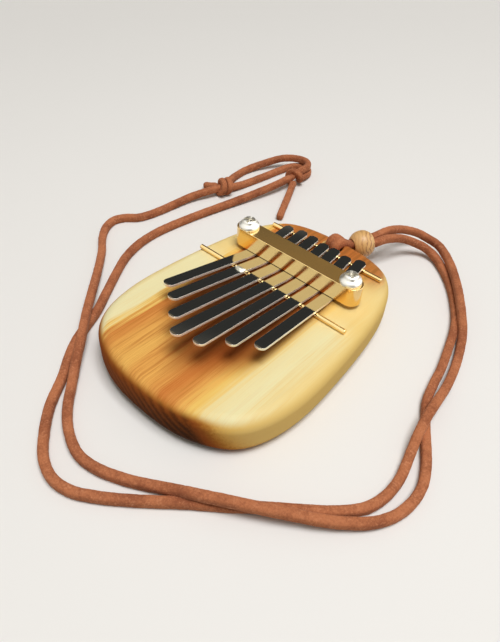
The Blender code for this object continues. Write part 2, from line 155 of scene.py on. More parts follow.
# Routes of the lace's stretches, in millimetres
STRAND_A_ROUTE = (
    (3, 46.3, 11.3), (5.8, 50.3, 10.7), (7.8, 54.5, 10.2), (9.1, 58.5, 10.3), (10.7, 63, 9.5),
    (12.6, 68, 7.6), (15.2, 71.6, 5.5), (18.7, 74, 3.7), (22.9, 73.9, 2.3), (28.3, 70.4, 1.5),
    (35.1, 63.5, 1.4), (40.9, 55.4, 1.4), (44.4, 49.2, 1.4), (46.7, 43.7, 1.4), (49.7, 33.5, 1.4),
    (51.7, 25.9, 1.4), (52.9, 19.2, 1.4), (54.6, 12.2, 1.4), (57.1, 6.9, 1.4), (59.3, 2.8, 1.4),
    (62.8, -2.9, 1.4), (65.5, -7.9, 1.4), (67.3, -13.3, 1.4), (67.5, -19.1, 1.4), (66.2, -24.5, 1.5),
    (63.1, -29.9, 2), (58.9, -34.2, 2.6), (54.8, -37.7, 3.2), (50.6, -40.6, 3.8), (46, -43.7, 4.3),
    (41.3, -46.6, 4.5), (36.1, -49.7, 4.6), (30.7, -52.7, 4.3), (24.7, -55.4, 3), (18.7, -58.3, 1.7),
    (12.7, -61.4, 1.4), (6, -64, 1.4), (-0.8, -64.8, 1.4), (-8.2, -62.5, 1.4), (-14.6, -58.5, 1.4),
    (-21.6, -51.9, 1.9), (-26.5, -46.8, 3.2), (-31.6, -41.2, 4.3), (-37.7, -35.4, 4.4),
    (-45.6, -27.7, 3.6), (-55.5, -18, 2.2), (-65.2, -8.8, 1.5), (-71.6, -3.7, 1.4), (-76.1, 1.4, 1.4),
    (-77.8, 6.4, 1.4), (-76.3, 10.6, 1.4), (-72.9, 14.3, 1.4), (-71, 20.9, 1.4), (-70, 29.8, 1.6),
    (-68.6, 38.8, 2.3), (-65, 48.2, 3.3),
)
STRAND_B_ROUTE = (
    (2.1, 46.6, 11.3), (3.6, 51, 10.7), (4.9, 55.4, 10.2), (6.1, 59.6, 10.4), (7.2, 64.5, 10.3),
    (8.5, 69.5, 9.1), (10.1, 74.2, 7.3), (12.9, 77.9, 5.6), (16.7, 79.1, 4.5), (21.7, 78.2, 4.3),
    (29.3, 72, 4.3), (36.8, 62.9, 4.3), (43, 53.7, 4.3), (46.6, 47.9, 3.9), (49.2, 43.8, 2.9),
    (51.9, 37.7, 1.8), (54.4, 29.5, 1.6), (56.3, 20.2, 2.4), (57.3, 11.2, 3.8), (58, 4.5, 4.3),
    (59.2, -2.4, 3.5), (60.6, -8.2, 1.8), (61.9, -14.1, 1.4), (62, -20.9, 1.4), (60.4, -26.6, 1.4),
    (57.3, -30.9, 1.4), (53.1, -35, 1.4), (49.1, -38.3, 1.4), (44.5, -42, 1.4), (40.3, -45.5, 1.4),
    (36.4, -48.9, 1.4), (32.2, -52.2, 1.4), (28.1, -55.5, 1.4), (22.9, -60, 1.4), (17.7, -64.4, 1.4),
    (12.1, -68.6, 1.4), (6.5, -71.9, 1.4), (0.4, -73.1, 1.4), (-6.3, -71.3, 1.4), (-12.8, -66.8, 1.4),
    (-18.9, -61.1, 1.4), (-25.3, -52.7, 1.4), (-30.3, -47.1, 1.4), (-34.6, -41.3, 1.4),
    (-37.7, -35.2, 1.4), (-40.7, -29.3, 1.4), (-45.3, -22.4, 1.4), (-51.1, -13.8, 1.4),
    (-56.3, -5.2, 1.4), (-59.2, 3, 1.4), (-60.2, 12.9, 1.4), (-58.8, 26.3, 1.5), (-56, 41, 1.7),
    (-52.6, 55, 2.4), (-49.2, 69, 3.6), (-48.4, 75.2, 4),
)
LINK_A_ROUTE = (
    (-62.3, 56.8, 2.2), (-61.2, 64, 1.4), (-59.8, 73, 1.4), (-58.6, 82, 1.4), (-56.8, 89.5, 1.4),
    (-52.6, 93.2, 1.4), (-48.4, 90.6, 1.4), (-47, 84.2, 2.2),
)
LINK_B_ROUTE = (
    (-47.6, 84, 5.2), (-48.6, 90, 4.6), (-52, 92.9, 4.5), (-56.6, 92, 4.5), (-61.2, 87.8, 4.4),
    (-66.2, 80.5, 2.6), (-68.9, 72, 1.5), (-68.4, 64, 1.5), (-65.6, 56.6, 2.9),
)
TAIL_A_ROUTE = (
    (-67.4, 51.6, 2.2), (-70, 50.8, 1.7), (-72.9, 49.8, 1.5),
)
TAIL_B_ROUTE = (
    (-45.2, 75.4, 2.9), (-42.4, 69.6, 1.7), (-38.6, 62, 1.4), (-34.2, 53.6, 1.4),
)
# Each knot is one lace end wound round the other strand: middle and run of that strand, reach along it, and
# turns in degrees
KNOT_A = {
    "middle": Vector((-0.0635, 0.0525, 0.0036)), "run": Vector((0.30, 0.95, -0.10)),
    "reach": (0.0024, -0.0022), "turn": (-60, 540),
}
KNOT_B = {
    "middle": Vector((-0.0478, 0.0795, 0.0040)), "run": Vector((0.09, 0.99, 0.13)),
    "reach": (0.0024, -0.0026), "turn": (180, -230),
}
# Winding of the knots: its radius, step, oval and squeeze, and how far the strand inside is shifted
KNOT_RADIUS = 0.0023
KNOT_STEP = math.radians(24)
KNOT_WIDER = 1.15
KNOT_SQUEEZE = 0.86
KNOT_SHIFT = 0.0003
# How thin the lace is pressed inside a knot and past the hole, and at how many points past the hole
PRESSED = 0.8
PRESSED_POINTS = 2
# Sections of the lace: their spacing, the finer steps that find them, their sides, how round they are, how
# they close at the ends, and the grain of their fuzz
LACE_SPACING = 0.0005
FINE_SHARE = 0.3
FEWEST_STEPS = 4
LACE_SIDES = 16
LACE_ROUNDNESS = 0.62
LACE_END_EASE = (0.72, 0.9, 1.0)
FINE_FUZZ = 0.9 * MM
BROAD_FUZZ = 3.5 * MM
# Each half of the lace: the side its flat top faces, its strand, link, both knots and tail, and the solids
# that it stands for
LACE_HALVES = (
    ("lace_outer_half", -1, STRAND_A_ROUTE, LINK_A_ROUTE, KNOT_A, KNOT_B, TAIL_B_ROUTE,
     ("lace_strand_a", "lace_link_a", "lace_knot_b", "lace_tail_b", "lace_loop")),
    ("lace_inner_half", 1, STRAND_B_ROUTE, LINK_B_ROUTE, KNOT_B, KNOT_A, TAIL_A_ROUTE,
     ("lace_strand_b", "lace_link_b", "lace_knot_a", "lace_tail_a")),
)


def colour(name, description, default):
    """A colour that a user may change."""
    return FloatVectorProperty(
        name=name, description=description, subtype="COLOR", size=3, min=0, max=1, default=default)


def length(name, description, default):
    """A size in metres that a user may change."""
    return FloatProperty(
        name=name, description=description, default=default, min=0, unit="LENGTH", precision=5)


def share(name, description, default):
    """A share from none to all that a user may change."""
    return FloatProperty(name=name, description=description, default=default, min=0, max=1, subtype="FACTOR")


class BoardLook(bpy.types.PropertyGroup):
    """Shape and wood of the board"""
    sapwood: colour("Sapwood", "Pale wood along both sides", (0.84, 0.765, 0.44))
    gold: colour("Golden wood", "Golden wood beside the sapwood and on the side walls", (0.84, 0.55, 0.14))
    honey: colour("Honey", "Light heartwood between the streaks", (0.80, 0.42, 0.10))
    heartwood: colour("Heartwood", "Orange-brown heartwood", (0.60, 0.20, 0.042))
    streak: colour("Dark streaks", "Dark grain lines in the heartwood", (0.46, 0.13, 0.02))
    amber: colour("Amber wood", "Amber wood beside the dark end grain", (0.62, 0.27, 0.035))
    side_wall: colour("Side wall", "Brownish gold of the right wall", (0.84, 0.62, 0.23))
    # Painted shade: rust-red colour laid on the wood under and round the tines where their shadow falls
    painted_tine_shade: colour("Shaded wood", "Deep rust-red wood under the tines", (0.25, 0.05, 0.007))
    rear: colour("Rear", "Reddish heartwood behind the bar", (0.44, 0.14, 0.03))
    end_grain: colour("End grain", "Dark end grain at the front wall", (0.030, 0.008, 0.003))
    end_grain_light: colour("Light end grain", "Lighter rings in the end grain", (0.30, 0.078, 0.014))
    rounding: length("Rounding", "Radius round the top and bottom edge", 0.004)
    hole: length("Lace hole", "Diameter of the hole for the lace", 0.0068)
    hole_ease: length("Hole rim", "How far the hole's rim is eased", 0.0006)
    oil: share("Oil", "Roughness of the oiled surface", 0.45)


class MetalLook(bpy.types.PropertyGroup):
    """Finishes of the bar, rods, screws and tines"""
    brass: colour("Brass", "Polished brass of the bar and rods", (0.90, 0.63, 0.26))
    brass_polish: share("Brass polish", "Roughness of the brass", 0.16)
    steel: colour("Tine steel", "Polished spring steel of the tines", (0.60, 0.60, 0.54))
    steel_polish: share("Tine polish", "Roughness of the tines", 0.06)
    plating: colour("Screw plating", "Bright plating of the screws", (0.82, 0.79, 0.70))
    plating_polish: share("Plating polish", "Roughness of the screws", 0.5)
    bar_edge: length("Bar edge", "Rounding along the bar's edges", 0.00014)
    rod_edge: length("Rod edge", "Rounding at the rods' ends", 0.00025)
    tine_width: length("Tine width", "Width of a tine", 0.0037)
    tine_cut: colour("Tine edges", "Bright cut edges of the tines", (0.97, 0.95, 0.89))
    tine_thickness: length("Tine thickness", "Thickness of a tine", 0.0008)
    tine_edge: length("Tine edge", "Rounding along a tine's edges", 0.0003)
    tine_corner: length("Tine corner", "Cut-off corners at a tine's rear end", 0.0009)


class LaceLook(bpy.types.PropertyGroup):
    """Shape and suede of the lace, and the wood of its bead"""
    suede: colour("Suede", "Main colour of the suede", (0.50, 0.18, 0.078))
    nap: colour("Nap", "Lighter brushed fibres", (0.64, 0.29, 0.155))
    crease: colour("Crease", "Darker rubbed fibres", (0.27, 0.083, 0.036))
    width: length("Lace width", "Width of the lace strip", 0.0027)
    thickness: length("Lace thickness", "Thickness of the lace strip", 0.0028)
    fuzz: length("Fuzz", "How uneven the suede's surface is", 0.00007)
    bead_pale: colour("Bead wood", "Pale wood of the bead", (0.78, 0.46, 0.17))
    bead_streak: colour("Bead streaks", "Brown streaks in the bead", (0.31, 0.115, 0.035))
    bead_bore: length("Bead bore", "Diameter of the bead's bore on the side of the lace hole", 0.0047)
    bead_mouth: length("Bead mouth", "Diameter of the bead's bore where the two strands part", 0.0066)


class StageLook(bpy.types.PropertyGroup):
    """Floor, light and camera"""
    floor: colour("Floor", "The pale floor as it is seen", (0.84, 0.83, 0.81))
    floor_bounce: colour("Floor bounce", "How much light the floor throws back", (0.58, 0.53, 0.46))
    floor_size: length("Floor size", "Side of the floor", 3.0)
    lamp_power: FloatProperty(
        name="Lamp", description="Power of the soft lamp", default=6.6, min=0, unit="POWER")
    lamp_size: length("Lamp size", "Side of the soft lamp", 0.44)


class ThumbPianoLook(bpy.types.PropertyGroup):
    """All sizes and colours of the thumb piano"""
    board: PointerProperty(type=BoardLook)
    metal: PointerProperty(type=MetalLook)
    lace: PointerProperty(type=LaceLook)
    stage: PointerProperty(type=StageLook)


# Shader sums


class Value:
    """A socket of a node tree, so that shader sums read as plain sums."""

    def __init__(self, tree, socket):
        self.tree = tree
        self.socket = socket

    def node(self, kind, settings, inputs, output=0):
        """Add a node, its settings first, then the values or links of its sockets; gives one output."""
        new = self.tree.nodes.new(kind)
        for key, value in settings.items():
            if key == "stops":
                set_stops(new.color_ramp, value)
            else:
                setattr(new, key, value)
        for key, value in inputs.items():
            if isinstance(value, Value):
                self.tree.links.new(value.socket, new.inputs[key])
            else:
                new.inputs[key].default_value = value
        return Value(self.tree, new.outputs[output])

    def math(self, operation, first, second=0.0):
        """A Math node on two values."""
        return self.node("ShaderNodeMath", {"operation": operation}, {0: first, 1: second})

    def __add__(self, other):
        return self.math("ADD", self, other)

    def __radd__(self, other):
        return self.math("ADD", other, self)

    def __sub__(self, other):
        return self.math("SUBTRACT", self, other)

    def __rsub__(self, other):
        return self.math("SUBTRACT", other, self)

    def __mul__(self, other):
        return self.math("MULTIPLY", self, other)

    def __rmul__(self, other):
        return self.math("MULTIPLY", other, self)

    def __truediv__(self, other):
        return self.math("DIVIDE", self, other)

    def __rtruediv__(self, other):
        return self.math("DIVIDE", other, self)

    def __abs__(self):
        return self.math("ABSOLUTE", self)

    def larger(self, other):
        """The larger of two values."""
        return self.math("MAXIMUM", self, other)

    def wave(self):
        """A sine wave over this value."""
        return self.math("SINE", self)

    def between(self, low, high):
        """0 below low, 1 above high, and a smooth rise between; falls where low is above high."""
        if low > high:
            return 1 - self.between(high, low)
        return self.node(
            "ShaderNodeMapRange", {"interpolation_type": "SMOOTHSTEP"},
            {"Value": self, "From Min": low, "From Max": high})

    def band(self, low, high, soft):
        """1 between low and high, with soft borders of that width."""
        half = soft / 2
        return self.between(low - half, low + half) * self.between(high + half, high - half)

    def stretched(self, x, y, z):
        """The vector with its three parts scaled."""
        return self.node("ShaderNodeVectorMath", {"operation": "MULTIPLY"}, {0: self, 1: (x, y, z)})

    def along(self, x, y, z):
        """How far the vector points along a direction."""
        way = Vector((x, y, z)).normalized()
        return self.node("ShaderNodeVectorMath", {"operation": "DOT_PRODUCT"}, {0: self, 1: way}, "Value")

    def parts(self):
        """The vector's three parts."""
        first = self.node("ShaderNodeSeparateXYZ", {}, {0: self})
        return [Value(self.tree, output) for output in first.socket.node.outputs]

    def grain(self, scale, detail=2.0, roughness=0.5):
        """Noise from 0 to 1 at this vector."""
        inputs = {"Vector": self, "Scale": scale, "Detail": detail, "Roughness": roughness}
        return self.node("ShaderNodeTexNoise", {}, inputs)

    def blend(self, first, second):
        """One colour where this is 0 and another where it is 1."""
        colours = {0: self}
        for socket, tint in ((6, first), (7, second)):
            colours[socket] = tint if isinstance(tint, Value) else (*tint, 1)
        return self.node("ShaderNodeMix", {"data_type": "RGBA"}, colours, 2)

    def ramp(self, stops):
        """Colours at places from 0 to 1, blended between."""
        return self.node("ShaderNodeValToRGB", {"stops": stops}, {0: self})

    def bump(self, distance, strength=1.0):
        """A bump normal from a height of 0 to 1."""
        return self.node("ShaderNodeBump", {}, {"Height": self, "Distance": distance, "Strength": strength})


def set_stops(ramp, stops):
    """Give a colour ramp its stops."""
    while len(ramp.elements) < len(stops):
        ramp.elements.new(0.5)
    for element, (place, tint) in zip(ramp.elements, stops):
        element.position = place
        element.color = (*tint, 1)


class Finish:
    """A new material, with the surface coordinates its pattern reads."""

    def __init__(self, name, constants):
        self.material = bpy.data.materials.new(name)
        self.material.use_nodes = True
        tree = self.material.node_tree
        self.shader = tree.nodes["Principled BSDF"]
        for key, value in constants.items():
            socket = self.shader.inputs[key]
            socket.default_value = (*value, 1) if socket.type == "RGBA" else value
        self.place = tree.nodes.new("ShaderNodeTexCoord")
        self.tree = tree

    def at(self, output):
        """Coordinates of the surface: Object in metres, Normal, or UV."""
        return Value(self.tree, self.place.outputs[output])

    def millimetres(self):
        """Place on the object in millimetres."""
        return self.at("Object").stretched(*TO_MM)

    def set(self, inputs):
        """Link patterns to the shader."""
        for key, value in inputs.items():
            self.tree.links.new(value.socket, self.shader.inputs[key])
        return self.material


# Modelling


def clear_selection():
    """Leave edit mode with nothing selected."""
    if bpy.context.object is not None and bpy.context.object.mode != "OBJECT":
        bpy.ops.object.mode_set(mode="OBJECT")
    bpy.ops.object.select_all(action="DESELECT")


def start_piece(name, adder, scale=(1, 1, 1), **settings):
    """Add a primitive as the start of a piece, with its place and scale in its mesh."""
    clear_selection()
    adder(**settings)
    piece = bpy.context.object
    piece.name = name
    piece.data.name = name
    piece.scale = scale
    settle(piece)
    return piece


def select_only(piece):
    """Select one piece alone and make it the active one."""
    clear_selection()
    piece.select_set(True)
    bpy.context.view_layer.objects.active = piece


def settle(piece):
    """Put a piece's place, turn and scale into its mesh."""
    select_only(piece)
    bpy.ops.object.transform_apply(location=True, rotation=True, scale=True)


def edit(piece):
    """Go into edit mode on one piece."""
    select_only(piece)
    bpy.ops.object.mode_set(mode="EDIT")


def pick(piece, kind, wanted):
    """In edit mode, select the vertices, edges or faces that pass a test."""
    bpy.ops.mesh.select_mode(type=kind)
    bpy.ops.mesh.select_all(action="DESELECT")
    shape = bmesh.from_edit_mesh(piece.data)
    shape.normal_update()
    for item in {"VERT": shape.verts, "EDGE": shape.edges, "FACE": shape.faces}[kind]:
        item.select_set(wanted(item))
    shape.select_flush_mode()
    bmesh.update_edit_mesh(piece.data)


def edge_middle(edge):
    """Middle of an edge."""
    return (edge.verts[0].co + edge.verts[1].co) / 2


def edge_run(edge):
    """Direction of an edge."""
    return (edge.verts[1].co - edge.verts[0].co).normalized()


def extrude_by(x, y, z):
    """Extrude the selected faces by a step."""
    bpy.ops.mesh.extrude_region_move(TRANSFORM_OT_translate={"value": (x, y, z)})


def resize_about(centre, x, y, z):
    """Scale what is selected about a point."""
    bpy.ops.transform.resize(value=(x, y, z), center_override=centre)


def close_shape():
    """Merge doubles and turn all faces outwards, then leave edit mode."""
    bpy.ops.mesh.select_mode(type="VERT")
    bpy.ops.mesh.select_all(action="SELECT")
    bpy.ops.mesh.remove_doubles(threshold=1e-6)
    bpy.ops.mesh.normals_make_consistent(inside=False)
    bpy.ops.object.mode_set(mode="OBJECT")


def apply_modifier(piece, kind, **settings):
    """Add a modifier and apply it."""
    select_only(piece)
    modifier = piece.modifiers.new(kind, kind)
    for key, value in settings.items():
        setattr(modifier, key, value)
    bpy.ops.object.modifier_apply(modifier=modifier.name)


def ease_edges(piece, width, segments):
    """Round all sharp edges of a piece by a little."""
    apply_modifier(
        piece, "BEVEL", width=width, segments=segments, limit_method="ANGLE", angle_limit=math.radians(40))


def cut_out(piece, cutter):
    """Cut a shape out of a piece, and remove the cutter."""
    apply_modifier(piece, "BOOLEAN", operation="DIFFERENCE", solver="EXACT", object=cutter)
    bpy.data.objects.remove(cutter)


def smooth(piece, angle):
    """Smooth shading up to an angle, with broad faces kept flat."""
    select_only(piece)
    bpy.ops.object.shade_smooth_by_angle(angle=math.radians(angle), keep_sharp_edges=False)
    apply_modifier(piece, "WEIGHTED_NORMAL", keep_sharp=True)


def copy_piece(piece, name):
    """A copy with its own mesh."""
    select_only(piece)
    bpy.ops.object.duplicate()
    twin = bpy.context.object
    twin.name = name
    twin.data.name = name
    return twin


def dress(piece, material, slot, *nodes, body="root"):
    """Give a piece its finish and its body, and hide the solids it stands for."""
    piece.data.materials.clear()
    piece.data.materials.append(material)
    if body:
        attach(piece, body)
    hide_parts(*nodes)


# Stage


def floor_finish(look):
    """Pale matt floor that throws less light back on the object than it shows, and stays pale far away."""
    finish = Finish("pale_floor", {"Roughness": 0.9, "Emission Strength": 1.0})
    path = finish.tree.nodes.new("ShaderNodeLightPath")
    camera, glossy = (Value(finish.tree, path.outputs[name]) for name in ("Is Camera Ray", "Is Glossy Ray"))
    place = finish.at("Object")
    pale = place.grain(9.0, 4.0).blend(Vector(look.floor) * 0.985, look.floor)
    away = place.node("ShaderNodeVectorMath", {"operation": "LENGTH"}, {0: place}, "Value")
    lift = (camera * away.between(0.15, 1.5)).blend((0, 0, 0), Vector(look.floor) * 0.8)
    seen = camera.larger(glossy).blend(look.floor_bounce, pale)
    return finish.set({"Base Color": seen, "Emission Color": lift})


def light_world(world):
    """Soft light from above; polished metal mirrors the bright panels and a warm strip."""
    world.use_nodes = True
    tree = world.node_tree
    background = tree.nodes["Background"]
    path = tree.nodes.new("ShaderNodeLightPath")
    camera = Value(tree, path.outputs["Is Camera Ray"])
    glossy = Value(tree, path.outputs["Is Glossy Ray"])
    facing = Value(tree, tree.nodes.new("ShaderNodeTexCoord").outputs["Generated"])
    height = facing.parts()[2]
    overhead, front, right = (bright * facing.along(*way).between(*rim) for bright, way, rim in PANELS)
    strip = height.between(0.50, 0.60) * height.between(0.72, 0.64)
    panels = overhead.larger(front).larger(right)
    mirrored = DARK_ROOM + panels.larger(WARM_STRIP * strip)
    dome = DOME_LOW + DOME_RISE * height.larger(0.0)
    strength = camera * BACKDROP + glossy * mirrored + (1 - camera - glossy) * dome
    tree.links.new(strength.socket, background.inputs["Strength"])
    warm = glossy * strip * panels.between(0.30, 0.05)
    mild = (1 - camera - glossy).blend((1, 1, 1), (1, 0.93, 0.82))
    tree.links.new(warm.blend(mild, (1, 0.78, 0.48)).socket, background.inputs["Color"])


class SetStage(bpy.types.Operator):
    """Lay the pale floor and set the soft light and the camera"""
    bl_idname = "thumb_piano.set_stage"
    bl_label = "Set Stage"

    def execute(self, context):
        look = context.scene.thumb_piano.stage
        floor = start_piece("floor", bpy.ops.mesh.primitive_plane_add, size=look.floor_size)
        floor.data.materials.append(floor_finish(look))
        if context.scene.world is None:
            context.scene.world = bpy.data.worlds.new("soft_room")
        light_world(context.scene.world)

        clear_selection()
        bpy.ops.object.light_add(type="AREA", location=LAMP_PLACE)
        lamp = context.object
        lamp.name = "soft_lamp"
        lamp.data.energy = look.lamp_power
        lamp.data.size = look.lamp_size
        lamp.rotation_euler = (-lamp.location).to_track_quat("-Z", "Y").to_euler()

        clear_selection()
        turn = [math.radians(angle) for angle in CAMERA_TURN]
        bpy.ops.object.camera_add(location=CAMERA_PLACE, rotation=turn)
        camera = context.object
        camera.name = "photo_camera"
        camera.data.sensor_width = CAMERA_SENSOR
        camera.data.lens = CAMERA_LENS
        camera.data.clip_start = CAMERA_NEAR
        context.scene.camera = camera
        context.scene.view_settings.view_transform = "Standard"
        return {"FINISHED"}


# Lace


def smooth_line(stations, spacing):
    """An even run of stations on a smooth curve through the given ones.

    A station is a point, the direction its flat top faces, and how far the strip is squeezed there.
    """
    points = [station[0] for station in stations]
    points = [2 * points[0] - points[1], *points, 2 * points[-1] - points[-2]]
    fine = []
    for index, (start, end) in enumerate(zip(stations, stations[1:])):
        p0, p1, p2, p3 = points[index:index + 4]
        t1 = (p1 - p0).length ** 0.5
        t2 = t1 + (p2 - p1).length ** 0.5
        t3 = t2 + (p3 - p2).length ** 0.5
        steps = max(FEWEST_STEPS, math.ceil((p2 - p1).length / (FINE_SHARE * spacing)))
        for step in range(steps):
            part = step / steps
            t = t1 + (t2 - t1) * part
            a1 = p0.lerp(p1, t / t1)
            a2 = p1.lerp(p2, (t - t1) / (t2 - t1))
            a3 = p2.lerp(p3, (t - t2) / (t3 - t2))
            point = a1.lerp(a2, t / t2).lerp(a2.lerp(a3, (t - t1) / (t3 - t1)), (t - t1) / (t2 - t1))
            top = start[1].lerp(end[1], part)
            fine.append((point, top, start[2] + (end[2] - start[2]) * part))
    fine.append(stations[-1])
    even = [fine[0]]
    left = spacing
    for before, after in zip(fine, fine[1:]):
        gap = (after[0] - before[0]).length
        while left < gap:
            part = left / gap
            squeeze = before[2] + (after[2] - before[2]) * part
            even.append((before[0].lerp(after[0], part), before[1].lerp(after[1], part), squeeze))
            left += spacing
        left -= gap
    return even


def fold_stations(side):
    """The lace's hidden bight in the hole and its fold over the rim, for the strand on one side."""
    stations = []
    middle = Vector((HOLE_MOUTH.x, HOLE_MOUTH.y, 0))
    for index, (along, height, spread, full) in enumerate(FOLD_PATH):
        before = FOLD_PATH[max(index - 1, 0)]
        after = FOLD_PATH[min(index + 1, len(FOLD_PATH) - 1)]
        top = UP * (after[0] - before[0]) - FOLD_ALONG * (after[1] - before[1])
        place = middle + UP * height + FOLD_ALONG * along - FOLD_ACROSS * (spread * side)
        stations.append((place, top.normalized() * side, full))
    return stations


def route_stations(route, side, squeeze=1.0):
    """Stations of a stretch that lies flat."""
    return [(Vector(point) * MM, UP * side, squeeze) for point in route]


def knot_stations(knot):
    """Stations of a lace end wound round the other strand."""
    run = knot["run"].normalized()
    above = (UP - run * run.z).normalized()
    beside = run.cross(above)
    first, last = (math.radians(angle) for angle in knot["turn"])
    steps = round(abs(last - first) / KNOT_STEP)
    stations = []
    for step in range(steps + 1):
        part = step / steps
        angle = first + (last - first) * part
        out = above * math.cos(angle) + beside * math.sin(angle)
        along = knot["reach"][0] + (knot["reach"][1] - knot["reach"][0]) * part
        wide = above * math.cos(angle) + beside * math.sin(angle) * KNOT_WIDER
        stations.append((knot["middle"] + run * along + wide * KNOT_RADIUS, out, KNOT_SQUEEZE))
    return stations


def half_stations(side, strand, link, near_knot, far_knot, tail):
    """Stations of one half of the lace, from the hole to its cut end."""
    stations = fold_stations(side) + route_stations(strand[:PRESSED_POINTS], side, PRESSED)
    stations += route_stations(strand[PRESSED_POINTS:], side)
    stations.append((near_knot["middle"] + UP * (side * KNOT_SHIFT), UP * side, PRESSED))
    return stations + route_stations(link, side) + knot_stations(far_knot) + route_stations(tail, -1)


def rounded(part):
    """A share of a circle's width or height, pushed out towards a square's."""
    return math.copysign(abs(part) ** LACE_ROUNDNESS, part)


def strip_mesh(name, stations, look, seed):
    """A soft flat strip with rounded edges swept along its stations."""
    shape = bmesh.new()
    uv = shape.loops.layers.uv.new("lace")
    rings = []
    count = len(stations)
    shift = Vector((seed * 3.1, seed * 1.7, seed * 2.3))
    for index, (point, top, squeeze) in enumerate(stations):
        run = (stations[min(index + 1, count - 1)][0] - stations[max(index - 1, 0)][0]).normalized()
        across = run.cross(top).normalized()
        top = across.cross(run)
        end_gap = min(index, count - 1 - index)
        ease = LACE_END_EASE[min(end_gap, len(LACE_END_EASE) - 1)] * squeeze
        ring = []
        for side in range(LACE_SIDES):
            angle = 2 * math.pi * (side + 0.5) / LACE_SIDES
            wide = rounded(math.cos(angle)) * look.width / 2 * ease
            high = rounded(math.sin(angle)) * look.thickness / 2 * ease
            spot = point + across * wide + top * high
            rough = noise.noise(spot / FINE_FUZZ + shift) + 0.6 * noise.noise(spot / BROAD_FUZZ - shift)
            out = (spot - point).normalized()
            ring.append(shape.verts.new(spot + out * rough * look.fuzz))
        rings.append(ring)
    for index, (low, high) in enumerate(zip(rings, rings[1:])):
        for side in range(LACE_SIDES):
            after = (side + 1) % LACE_SIDES
            face = shape.faces.new((low[side], low[after], high[after], high[side]))
            corners = ((side, 0), (side + 1, 0), (side + 1, 1), (side, 1))
            for loop, (around, along) in zip(face.loops, corners):
                loop[uv].uv = (around / LACE_SIDES, (index + along) * LACE_SPACING / look.width)
    shape.faces.new(list(reversed(rings[0])))
    shape.faces.new(rings[-1])
    bmesh.ops.recalc_face_normals(shape, faces=shape.faces)
    mesh = bpy.data.meshes.new(name)
    shape.to_mesh(mesh)
    shape.free()
    mesh.shade_smooth()
    piece = bpy.data.objects.new(name, mesh)
    bpy.context.scene.collection.objects.link(piece)
    return piece


def suede_finish(look):
    """Soft brushed suede, darker where it is rubbed, with its light nap laid on stronger along its narrow
    edges as a painted highlight.
    """
    finish = Finish("reddish_suede", {
        "Roughness": 0.95, "Sheen Weight": 0.25, "Sheen Roughness": 0.45, "Sheen Tint": (0.80, 0.45, 0.32),
        "Specular IOR Level": 0.2,
    })
    place = finish.at("Object")
    around = finish.at("UV").parts()[0]
    patches = place.grain(140.0, 3.0, 0.6)
    fibres = place.grain(1900.0, 3.0, 0.7)
    tufts = place.grain(650.0, 2.0, 0.6)
    # Painted highlight: the light nap is laid on stronger along the strip's two narrow edges, where light
    # catches its rounded sides
    edge = abs(abs(around * 4 - 2) - 1).between(0.45, 0.9)
    worn = (patches * 0.55 + fibres * 0.45).between(0.34, 0.62)
    base = worn.blend(look.crease, look.suede)
    brushed = (tufts * 0.5 + fibres * 0.5).between(0.50, 0.72) * (0.45 + 0.35 * edge)
    height = fibres * 0.6 + tufts * 0.4
    return finish.set({
        "Base Color": brushed.blend(base, look.nap), "Roughness": 0.85 + 0.12 * fibres,
        "Normal": height.bump(0.00018, 0.8),
    })


class LayLace(bpy.types.Operator):
    """Lay both halves of the suede lace, with their sliding knots, along their routes"""
    bl_idname = "thumb_piano.lay_lace"
    bl_label = "Lay Lace"

    def execute(self, context):
        look = context.scene.thumb_piano.lace
        suede = suede_finish(look)
        for seed, (name, *course, nodes) in enumerate(LACE_HALVES, 1):
            line = smooth_line(half_stations(*course), LACE_SPACING)
            piece = strip_mesh(name, line, look, seed)
            dress(piece, suede, "lace_suede", *nodes)
            path = [station[0] for station in line]
            real = sum((after - before).length for before, after in zip(path, path[1:]))
        return {"FINISHED"}


def bead_finish(look, centre):
    """Pale turned wood with curved brown growth lines, closer on one side."""
    finish = Finish("streaked_bead_wood", {"Roughness": 0.42, "Coat Weight": 0.12, "Coat Roughness": 0.3})
    spot = finish.at("Object")
    spot = spot.node("ShaderNodeVectorMath", {"operation": "SUBTRACT"}, {0: spot, 1: centre})
    place = spot.stretched(*TO_MM)
    layer = place.along(0.74, 0.62, 0.25)
    warp = place.grain(0.35, 2.0) - 0.5
    fibre = place.stretched(3.4, 3.0, 0.5).grain(1.0, 3.0, 0.6)
    phase = layer * 4.8 + warp * 13.0
    lines = phase.wave().between(0.1, 0.95)
    streak = lines * (0.25 + 0.70 * (layer + warp * 5).between(-1.0, 2.4)) * fibre.between(0.25, 0.6)
    pale = fibre.blend(Vector(look.bead_pale) * 0.82, look.bead_pale)
    return finish.set({
        "Base Color": streak.blend(pale, look.bead_streak), "Roughness": 0.36 + 0.16 * fibre,
        "Normal": (fibre - lines * 0.3).bump(0.00006, 0.5),
    })


def edge_at_rim(edge, near, far):
    """Whether an edge lies wholly at one of the bead's two rims."""
    heights = [vert.co.z for vert in edge.verts]
    return max(heights) < near or min(heights) > far


